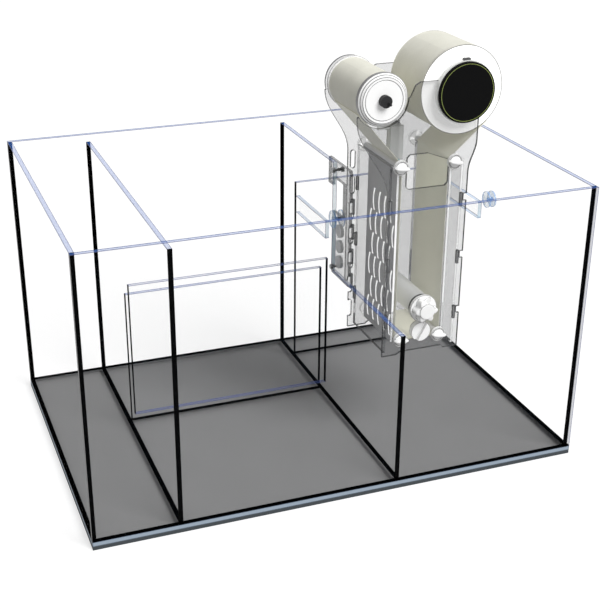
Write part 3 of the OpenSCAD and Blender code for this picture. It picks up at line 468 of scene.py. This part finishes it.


# Rods. White extruded plastic rod with a thread cut on each end. Fine draw lines run along it,
# and its underside is painted dark as painted shade.
rod_white, tree, shader = finish("rod_white", 0.35)
draw = noise(tree, 0.0006, place(tree, (1, 0.03, 1)), 3)
# Painted shade: the rod turns near-black where its surface faces down.
underside_shade = calc(tree, "DIVIDE", calc(tree, "SUBTRACT", 0.0, upward(tree)), 0.35, clamp=True)
rod_tone = ramp(tree, draw, [(0.1, (0.84, 0.84, 0.835)), (0.9, (0.92, 0.92, 0.915))])
tree.links.new(blend(tree, underside_shade, rod_tone, (0.05, 0.05, 0.05)), shader.inputs["Base Color"])
relief(tree, shader, draw, 0.00006, 0.4)
dress(rod_white, "upper_left_rod", "upper_right_rod", "lower_left_rod", "lower_right_rod", "supply_spindle")


# Moulded white plastic of the knobs, the cap, the plug and the take-up core, with the faint
# orange peel of a polished mould and dark lines along its sharp edges.
moulded_tones = [(0.2, (0.90, 0.90, 0.895)), (0.8, (0.94, 0.94, 0.935))]
rim_dark = (0.02, 0.02, 0.021)
moulded, tree, shader = finish("knob_white", 0.32, Coat_Weight=0.15)
peel = noise(tree, 0.0014, place(tree), 2)
white = ramp(tree, noise(tree, 0.02, place(tree), 2), moulded_tones)
tree.links.new(blend(tree, rims(tree, 0.0011, 0.004, 0.03), white, rim_dark), shader.inputs["Base Color"])
relief(tree, shader, peel, 0.00008, 0.35)
dress(moulded, "bypass_plug", "takeup_core")


# Flat nuts of the rods, behind the rear plate. They are the same white plastic, and light that
# comes through the plate and the plastic brightens them.
nut_white, tree, shader = finish("nut_white", 0.4)
peel = noise(tree, 0.0014, place(tree), 2)
rim = rims(tree, 0.0012, 0.004, 0.03)
white = ramp(tree, peel, [(0.2, (0.88, 0.88, 0.875)), (0.8, (0.93, 0.93, 0.925))])
tree.links.new(blend(tree, rim, white, rim_dark), shader.inputs["Base Color"])
glow(tree, shader, calc(tree, "MULTIPLY_ADD", rim, -0.55, 0.55))
relief(tree, shader, peel, 0.00008, 0.3)
dress(nut_white, "rod_nuts")


# Skins. Forms finer than the solids show are built as closed grids of points.
def close_grid(name, rows, material, body, ends=True, sharp=38):
    """Mesh of a surface given as rows of points. Each row is a closed ring, and at the two
    ends a fan to the ring's middle closes the skin."""
    count, around = rows.shape[:2]
    points = rows.reshape(-1, 3)
    i, j = np.meshgrid(np.arange(count - 1), np.arange(around), indexing="ij")
    k = (j + 1) % around
    quads = np.stack([i * around + j, i * around + k, (i + 1) * around + k, (i + 1) * around + j], -1)
    faces = quads.reshape(-1, 4).tolist()
    if ends:
        points = np.vstack([points, rows[0].mean(0), rows[-1].mean(0)])
        ring = np.arange(around)
        after = (ring + 1) % around
        first, last = count * around, count * around + 1
        faces += np.stack([after, ring, np.full(around, first)], -1).tolist()
        base = (count - 1) * around
        faces += np.stack([base + ring, base + after, np.full(around, last)], -1).tolist()
    mesh = bpy.data.meshes.new(name)
    mesh.from_pydata(points.tolist(), [], faces)
    shell = bmesh.new()
    shell.from_mesh(mesh)
    bmesh.ops.remove_doubles(shell, verts=shell.verts, dist=1e-6)
    bmesh.ops.recalc_face_normals(shell, faces=shell.faces)
    shell.to_mesh(mesh)
    shell.free()
    mesh.shade_smooth()
    mesh.set_sharp_from_angle(angle=math.radians(sharp))
    mesh.materials.append(material)
    piece = bpy.data.objects.new(name, mesh)
    stage.collection.objects.link(piece)
    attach(piece, body)
    return piece


def lathe(profile, centre, around=96):
    """Rings about an axis along Y: each point of the profile is (radius, y), swept round. The
    centre is the axis's X and Z."""
    angle = np.linspace(0, 2 * np.pi, around, endpoint=False)
    radius, along = np.array(profile).T
    return np.stack([centre[0] + radius[:, None] * np.cos(angle), along[:, None] + 0 * angle,
                     centre[1] + radius[:, None] * np.sin(angle)], -1)


# Thumb knobs. Each is moulded in one piece: a round base that bears on the front plate and a
# leaf-shaped fin across it to grip. Each stands at its own angle, in degrees.
base_depth, fin_half_length, fin_half_width = 0.006, 0.0143, 0.0041
for corner, angle in (("upper_left", 5), ("upper_right", 9), ("lower_left", 3), ("lower_right", 7)):
    node = corner + "_knob"
    lo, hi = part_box(node)
    cx, cz = axis_of(corner + "_rod")[0]
    back, front = hi.y, lo.y
    face = back - base_depth
    profile = [(0.0032, back), (0.0124, back), (0.013, back - 0.0007), (0.013, face + 0.0006),
               (0.0126, face), (0.0112, face), (0.0110, face + 0.0011), (0.0103, face + 0.0011),
               (0.0101, face)]
    base = close_grid(node + "_base", lathe(profile, (cx, cz)), moulded, "knob_" + corner)
    around = np.linspace(0, 2 * np.pi, 72, endpoint=False)
    rise = np.linspace(0, 1, 14)
    crown = np.sqrt(np.clip(1 - rise ** 6, 0, 1)) * (1 - 0.10 * rise)
    long_way = fin_half_length * np.cos(around)
    wide_way = fin_half_width * np.sin(around) * np.abs(np.sin(around)) ** 0.25
    spin = math.radians(angle)
    along, aside = crown[:, None] * long_way, crown[:, None] * wide_way
    fin_rows = np.stack([cx + along * math.cos(spin) + aside * math.sin(spin),
                         face - 0.0001 + (front - face) * rise[:, None] + 0 * along,
                         cz - along * math.sin(spin) + aside * math.cos(spin)], -1)
    fin = close_grid(node + "_fin", fin_rows, moulded, "knob_" + corner)
    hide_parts(node)


# Inlet pipe. Light grey extruded pipe, with a slot below, that crosses the box. It glows
# faintly with the light that comes through its wall.
dress(speckled("pipe_grey", 0.3, [(0.66, 0.67, 0.68), (0.76, 0.77, 0.78)], 0.0012, 0.00008, spread=(0.1, 0.9),
               scale=(1, 0.02, 1), Emission_Color=(1, 1, 1, 1), Emission_Strength=0.12), "inlet_pipe")


# Inlet cap. Moulded with a flange against the pipe, a six-lobed grip and a flat round boss.
# Its spigot turns inside the pipe. Each step is its radius, how far the lobes stand out and
# how far it lies in front of the cap's back.
cx, cz = axis_of("inlet_cap")[0]
cap_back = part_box("inlet_cap")[1].y
angle = np.linspace(0, 2 * np.pi, 192, endpoint=False)
lobes = np.cos(6 * angle)
cap_steps = [(0.0179, 0, 0.0), (0.0179, 0, 0.0099), (0.0242, 0, 0.0101), (0.025, 0, 0.0108),
             (0.025, 0, 0.0143), (0.0244, 0, 0.0150), (0.0190, 0.0030, 0.0150), (0.0184, 0.0030, 0.0156),
             (0.0182, 0.0030, 0.0285), (0.0176, 0.0028, 0.0294), (0.0166, 0.0024, 0.0300),
             (0.0144, 0.0, 0.0300), (0.0140, 0, 0.0303), (0.0138, 0, 0.0311), (0.0132, 0, 0.0315),
             (0.0110, 0, 0.0315)]
cap_rows = np.stack([np.stack([cx + (r + wave * lobes) * np.cos(angle), cap_back - out + 0 * angle,
                               cz + (r + wave * lobes) * np.sin(angle)], -1) for r, wave, out in cap_steps])
inlet_cap = close_grid("star_cap", cap_rows, moulded, "cap")
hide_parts("inlet_cap")


# Cardboard core of the supply roll, a spiral-wound tube.
dress(speckled("core_card", 0.9, [(0.34, 0.26, 0.16), (0.48, 0.38, 0.25)], 0.0008, 0.0002, 0.5, detail=4,
               scale=(1, 0.3, 1)), "supply_core")


# Fleece. Needled white-cream filter cloth about a millimetre thick: loose fibres in every
# direction, tiny needle dimples in rows, and a soft sheen.
cloth = 0.001


def fleece_cloth(name, strength):
    """Cloth whose colour wanders between two creams, roughened by crossed fibres and dimples.
    The strength is that of the light that comes through the thin cloth. It is greater where
    the cloth lies flat and faces up."""
    cream, shadow_cream = (0.85, 0.84, 0.74), (0.74, 0.73, 0.63)
    made, tree, shader = finish(name, 0.95, Sheen_Weight=0.25, Sheen_Roughness=0.5)
    fibres = calc(tree, "MAXIMUM", noise(tree, 0.0007, place(tree, (1, 0.22, 1), (0.0, 0.0, 0.5)), 3),
                  noise(tree, 0.0007, place(tree, (0.25, 1, 0.25), (0.3, 0.0, -0.4)), 3))
    dimples = add(tree, "ShaderNodeTexVoronoi",
                  {"Vector": place(tree), "Scale": 520.0, "Randomness": 0.35}).outputs["Distance"]
    patch = noise(tree, 0.03, place(tree), 3)
    mix = calc(tree, "MULTIPLY_ADD", fibres, 0.6, calc(tree, "MULTIPLY", patch, 0.4))
    tree.links.new(ramp(tree, mix, [(0.3, shadow_cream), (0.7, cream)]), shader.inputs["Base Color"])
    flat = calc(tree, "GREATER_THAN", upward(tree), 0.9)
    glow(tree, shader, calc(tree, "MULTIPLY_ADD", flat, 2.5 * strength, strength), cream)
    relief(tree, shader, calc(tree, "MULTIPLY_ADD", dimples, 0.6, fibres), 0.0005, 0.45)
    return made


def roll_end(name, centre, outer):
    """The same cloth seen on the end of a roll: thin rings one layer apart, with loose edges,
    and a dark outer ring. Inside that ring the end glows with painted light."""
    outer_ring_width = 0.0014
    made, tree, shader = finish(name, 0.95, Sheen_Weight=0.2)
    x, _, z = axes(tree, (centre[0], 0, centre[1]))
    reach = length(tree, x, z)
    swirl = calc(tree, "DIVIDE", calc(tree, "ARCTAN2", z, x), 2 * math.pi)
    layer = calc(tree, "FRACT", calc(tree, "ADD", calc(tree, "MULTIPLY", reach, 1 / cloth), swirl))
    groove = calc(tree, "ABSOLUTE", calc(tree, "SUBTRACT", layer, 0.5))
    fuzz = noise(tree, 0.0009, place(tree), 3)
    shade = calc(tree, "MULTIPLY_ADD", groove, 0.5, calc(tree, "MULTIPLY", fuzz, 0.6))
    outer_ring = calc(tree, "GREATER_THAN", reach, outer - outer_ring_width)
    rings = ramp(tree, shade, [(0.2, (0.96, 0.96, 0.94)), (0.85, (0.88, 0.88, 0.85))])
    tree.links.new(blend(tree, calc(tree, "MULTIPLY", outer_ring, 0.85), rings, (0.13, 0.13, 0.12)),
                   shader.inputs["Base Color"])
    # Painted light: the end glows everywhere but on the dark outer ring.
    glow(tree, shader, calc(tree, "MULTIPLY_ADD", outer_ring, -0.50, 0.50))
    relief(tree, shader, calc(tree, "SUBTRACT", fuzz, groove), 0.0005, 0.4)
    return made


fleece = fleece_cloth("fleece", 0.12)
wound_fleece = fleece_cloth("wound_fleece", 0.02)


# Wound rolls. The fleece is wound many times round its core, so the outside is a little flat
# and wavy and the layers' edges stand slightly uneven at both ends.
def wound_roll(name, node, body, seed):
    """Ring-shaped skin: the outside less a slow ripple, both ends in steps that each have their
    own small offset, and the wall along the core."""
    lo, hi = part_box(node)
    (cx, cz), radius = axis_of(node)
    skin, step_width = 0.0001, 0.0012
    outer = radius - skin
    bore = axis_of("supply_core")[1] + skin
    angle = np.linspace(0, 2 * np.pi, 256, endpoint=False)
    dice = np.random.default_rng(seed)
    layers = np.linspace(outer, bore, max(8, int((outer - bore) / step_width)))
    lag = dice.uniform(0, 2 * np.pi, (len(layers), 2))
    lift = 0.00028 * (1 + np.sin(angle + lag[:, :1])) / 2 + 0.00022 * (1 + np.sin(3 * angle + lag[:, 1:])) / 2
    ripple = 0.00035 * (1 + np.sin(2 * angle + 0.7)) / 2 + 0.00015 * (1 + np.sin(7 * angle)) / 2
    across = np.linspace(lo.y + 0.0006, hi.y - 0.0006, 14)
    rows = []
    for r, step in zip(layers[::-1], lift[::-1]):
        rows.append((r - ripple * (r / outer), lo.y + step))
    for y in across:
        rows.append((outer - ripple - 0.00012 * (1 + np.sin(5 * angle + 90 * y)), y + 0 * angle))
    for r, step in zip(layers, lift):
        rows.append((r - ripple * (r / outer), hi.y - step))
    rows.append((bore + 0 * angle, (lo.y + hi.y) / 2 + 0 * angle))
    rows.append(rows[0])
    grid = np.stack([np.stack([cx + r * np.cos(angle), y, cz + r * np.sin(angle)], -1) for r, y in rows])
    piece = close_grid(name, grid, wound_fleece, body, ends=False, sharp=50)
    piece.data.materials.append(roll_end(name + "_end", (cx, cz), outer))
    # Faces that look along Y are the roll's two ends and take the second material.
    normals = np.zeros(len(piece.data.polygons) * 3)
    piece.data.polygons.foreach_get("normal", normals)
    piece.data.polygons.foreach_set("material_index", (np.abs(normals[1::3]) > 0.6).astype(np.int32))
    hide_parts(node)


wound_roll("supply_wound_fleece", "supply_fleece", "supply_roll", 4)
wound_roll("takeup_wound_fleece", "takeup_fleece", "takeup_roll", 9)


# Retainer. A black moulded puck on a pale rim that pushes onto the spindle's end. A thin
# yellow-green ring is inlaid near its edge, and a dark catch sits on top of the rim.
inlay_radius, inlay_half_width = 0.0468, 0.00036
cx, cz = axis_of("retainer_puck")[0]
puck_black, tree, shader = finish("puck_black", 0.55, Specular_IOR_Level=0.05)
x, _, z = axes(tree, (cx, 0, cz))
inlay = near(tree, length(tree, x, z), inlay_radius, inlay_half_width)
grain = noise(tree, 0.0007, place(tree), 3)
black = blend(tree, grain, (0.0012, 0.0012, 0.0013), (0.004, 0.004, 0.0042))
tree.links.new(blend(tree, inlay, black, (0.33, 0.40, 0.12)), shader.inputs["Base Color"])
relief(tree, shader, grain, 0.00005, 0.4)
lo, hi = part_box("retainer_puck")
face, back = lo.y, hi.y
profile = [(0.0103, back), (0.0148, back), (0.0150, back - 0.0002), (0.0150, face + 0.0066),
           (0.0494, face + 0.0065), (0.05, face + 0.0059), (0.05, face + 0.0012), (0.0497, face + 0.0005),
           (0.0490, face + 0.0001), (0.0474, face), (0.0472, face + 0.0002), (0.0463, face + 0.0002),
           (0.0461, face), (0.02, face)]
puck = close_grid("retainer_face", lathe(profile, (cx, cz), 160), puck_black, "supply_retainer")
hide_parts("retainer_puck")
dress(speckled("rim_pale", 0.35, [(0.78, 0.79, 0.77), (0.84, 0.85, 0.83)], 0.0016, 0.00008, 0.3, detail=2),
      "retainer_rim")
dress(speckled("catch_dark", 0.55, [(0.05, 0.05, 0.052), (0.085, 0.085, 0.088)], 0.0008, 0.0001),
      "retainer_catch")


# End disc of the take-up roll. The same white plastic, turned, with its grooves painted dark as painted
# shade.
# Each groove is given by its share of the disc's radius and half its width.
turned_white, tree, shader = finish("turned_white", 0.3)
(cx, cz), disc_radius = axis_of("takeup_disc")
x, _, z = axes(tree, (cx, 0, cz))
reach = length(tree, x, z)
groove_shade = 0.0
for share, half_width in ((0.750, 0.0006), (0.850, 0.0005), (0.925, 0.0005), (0.995, 0.0006)):
    groove_shade = calc(tree, "MAXIMUM", groove_shade, near(tree, reach, disc_radius * share, half_width))
peel = noise(tree, 0.0014, place(tree), 2)
clean = ramp(tree, peel, moulded_tones)
# Painted shade: the grooves are near-black. Painted light: the rest of the disc glows faintly.
tree.links.new(blend(tree, calc(tree, "MULTIPLY", groove_shade, 0.85), clean, (0.06, 0.06, 0.062)),
               shader.inputs["Base Color"])
glow(tree, shader, calc(tree, "MULTIPLY_ADD", groove_shade, -0.08, 0.08))
relief(tree, shader, calc(tree, "SUBTRACT", peel, groove_shade), 0.0001, 0.35)
dress(turned_white, "takeup_disc")


# Hub and crank pin of the take-up roll: black moulded plastic, screwed to the white end disc.
dress(speckled("hub_black", 0.5, [(0.008, 0.008, 0.009), (0.025, 0.025, 0.027)], 0.0008, 0.0001,
               Specular_IOR_Level=0.25), "takeup_hub")


# Motor. A sealed dark can inside the take-up core.
dress(speckled("motor_grey", 0.5, [(0.045, 0.048, 0.05), (0.075, 0.078, 0.08)], 0.001, 0.0001),
      "takeup_motor")


# Level sensor. A clear cast block with a finger bar and two tinted probes that dip in the water.
block_height = 0.0582
probe, tree, shader = finish("sensor_clear", 0.2, IOR=1.49)
block_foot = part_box("level_sensor")[1].z - block_height
low = calc(tree, "LESS_THAN", axes(tree)[Z_AXIS], block_foot)
cloud = noise(tree, 0.01, place(tree), 3)
sensor_tone = blend(tree, low, blend(tree, cloud, (0.84, 0.86, 0.87), (0.92, 0.93, 0.94)), (0.20, 0.66, 0.60))
rim = calc(tree, "MULTIPLY", rims(tree, 0.0012), 0.9)
tree.links.new(blend(tree, rim, sensor_tone, (0.05, 0.055, 0.06)), shader.inputs["Base Color"])
tree.links.new(calc(tree, "MAXIMUM", rim, calc(tree, "MULTIPLY_ADD", low, 0.3, 0.5)), shader.inputs["Alpha"])
relief(tree, shader, cloud, 0.0001, 0.2)
dress(probe, "level_sensor")


# Fleece web. One cloth that comes off the supply roll, turns round the four rods and is wound
# up on the take-up roll. It is drawn tight, with edges that wander by a fraction of a millimetre.
def cross_touch(a, ra, b, rb, side):
    """Points where the cross tangent of two circles touches each, and its direction. The
    tangent leaves the line of centres by the angle whose sine is (ra + rb) over their distance."""
    heading = math.atan2(b[1] - a[1], b[0] - a[0]) + side * math.asin((ra + rb) / math.dist(a, b))
    right = np.array([math.sin(heading), -math.cos(heading)])
    return a + side * ra * right, b - side * rb * right, heading


def arc(centre, radius, start, stop, steps=14):
    """Points on an arc, without its first point."""
    angle = np.linspace(start, stop, steps + 1)[1:]
    return np.stack([centre[0] + radius * np.cos(angle), centre[1] + radius * np.sin(angle)], -1)


gap = 0.0003
upper_left, rod_radius = axis_of("upper_left_rod")
upper_right = axis_of("upper_right_rod")[0]
lower_left = axis_of("lower_left_rod")[0]
lower_right = axis_of("lower_right_rod")[0]
supply, supply_radius = axis_of("supply_fleece")
takeup, takeup_radius = axis_of("takeup_fleece")
bend = rod_radius + gap + cloth / 2
up_to_roll, on_takeup, rise_angle = cross_touch(
    upper_left, bend, takeup, takeup_radius + gap + cloth / 2, 1)
off_rod, on_supply, fall_angle = cross_touch(
    upper_right, bend, supply, supply_radius + gap + cloth / 2, -1)


def straight(a, b, step=0.006):
    """Even points from a to b, without the first."""
    count = max(2, int(math.dist(a, b) / step))
    return a + (np.asarray(b) - a) * np.linspace(0, 1, count + 1)[1:, None]


right_x, left_x, low_z = upper_right[0] - bend, upper_left[0] + bend, lower_left[1] - bend
path = np.vstack([
    on_supply[None],
    straight(on_supply, off_rod),
    arc(upper_right, bend, fall_angle + math.pi / 2, math.pi),
    straight([right_x, upper_right[1]], [right_x, lower_right[1]]),
    arc(lower_right, bend, 0, -math.pi / 2),
    straight([lower_right[0], low_z], [lower_left[0], low_z]),
    arc(lower_left, bend, -math.pi / 2, -math.pi),
    straight([left_x, lower_left[1]], [left_x, upper_left[1]]),
    arc(upper_left, bend, 0, rise_angle - math.pi / 2),
    straight(up_to_roll, on_takeup)])
run = np.r_[0, np.cumsum(np.linalg.norm(np.diff(path, axis=0), axis=1))]
slope = np.gradient(path, axis=0)
slope /= np.linalg.norm(slope, axis=1)[:, None]
normal = np.stack([-slope[:, 1], slope[:, 0]], -1)
lo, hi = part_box("web_right_run")
width = np.linspace(-1, 1, 25)
wander = 0.0003 * np.sin(run * 31) + 0.0002 * np.sin(run * 77 + 1)
y = (lo.y + hi.y) / 2 + np.outer(np.ones_like(run), width) * (hi.y - lo.y) / 2
y[:, 0] += np.abs(wander) * 0.5
y[:, -1] -= np.abs(wander) * 0.5
sides = []
for offset in (cloth / 2, -cloth / 2):
    line = path + normal * offset
    sides.append(np.stack([line[:, :1] + 0 * y, y, line[:, 1:] + 0 * y], -1))
ring = np.concatenate([sides[0], sides[1][:, ::-1]], axis=1)
web = close_grid("fleece_web", ring, fleece, "filter", sharp=60)
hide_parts("web_supply_run", "web_right_run", "web_bottom_run", "web_left_run", "web_takeup_run")
